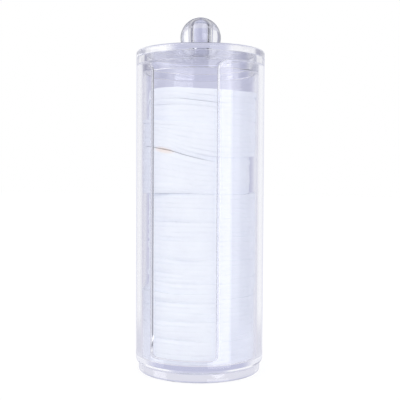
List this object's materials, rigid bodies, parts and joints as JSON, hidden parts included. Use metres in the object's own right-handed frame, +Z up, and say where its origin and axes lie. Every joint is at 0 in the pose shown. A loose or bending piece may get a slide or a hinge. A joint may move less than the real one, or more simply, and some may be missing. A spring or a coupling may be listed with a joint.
{
  "type": "cotton pad organizer",
  "caption": "Clear round upright dispenser for cotton pads, with a tall hand slot in front, a lift-off lid with a ball knob, and a stack of pads inside.",
  "frame": {"origin": "centre of the container's base ring, on the surface that it stands on", "axes": "+Z up along the container's axis, -Y out of the hand slot, +X to the right seen from the slot"},
  "size_m": [0.068, 0.068, 0.1877],
  "materials": {
    "clear_container": "gloss",
    "clear_lid": "gloss",
    "clear_knob": "polished",
    "cotton": "matte"
  },
  "bodies": {
    "holder": {"container": "clear_container", "pad_01": "cotton", "pad_02": "cotton", "pad_03": "cotton", "pad_04": "cotton", "pad_05": "cotton", "pad_06": "cotton", "pad_07": "cotton", "pad_08": "cotton", "pad_09": "cotton", "pad_10": "cotton", "pad_11": "cotton", "pad_12": "cotton", "pad_13": "cotton", "pad_14": "cotton", "pad_15": "cotton", "pad_16": "cotton", "pad_17": "cotton", "pad_18": "cotton", "pad_19": "cotton", "pad_20": "cotton", "pad_21": "cotton", "pad_22": "cotton", "pad_23": "cotton", "pad_24": "cotton", "pad_25": "cotton", "pad_26": "cotton", "pad_27": "cotton", "pad_28": "cotton", "pad_29": "cotton", "pad_30": "cotton", "pad_31": "cotton", "pad_32": "cotton", "pad_33": "cotton", "pad_34": "cotton", "pad_35": "cotton", "pad_36": "cotton", "pad_37": "cotton", "pad_38": "cotton", "pad_39": "cotton", "pad_40": "cotton", "pad_41": "cotton", "pad_42": "cotton", "pad_43": "cotton", "pad_44": "cotton", "pad_45": "cotton", "pad_46": "cotton", "pad_47": "cotton", "pad_48": "cotton", "pad_49": "cotton", "pad_50": "cotton", "pad_51": "cotton", "pad_52": "cotton", "pad_53": "cotton", "pad_54": "cotton", "pad_55": "cotton", "pad_56": "cotton"},
    "lid": {"lid": "clear_lid", "knob": "clear_knob"}
  },
  "joints": [
    {"name": "lid_lift", "type": "slide", "parent": "holder", "child": "lid", "axis": [0, 0, 1], "range_m": [0, 0.06]}
  ]
}
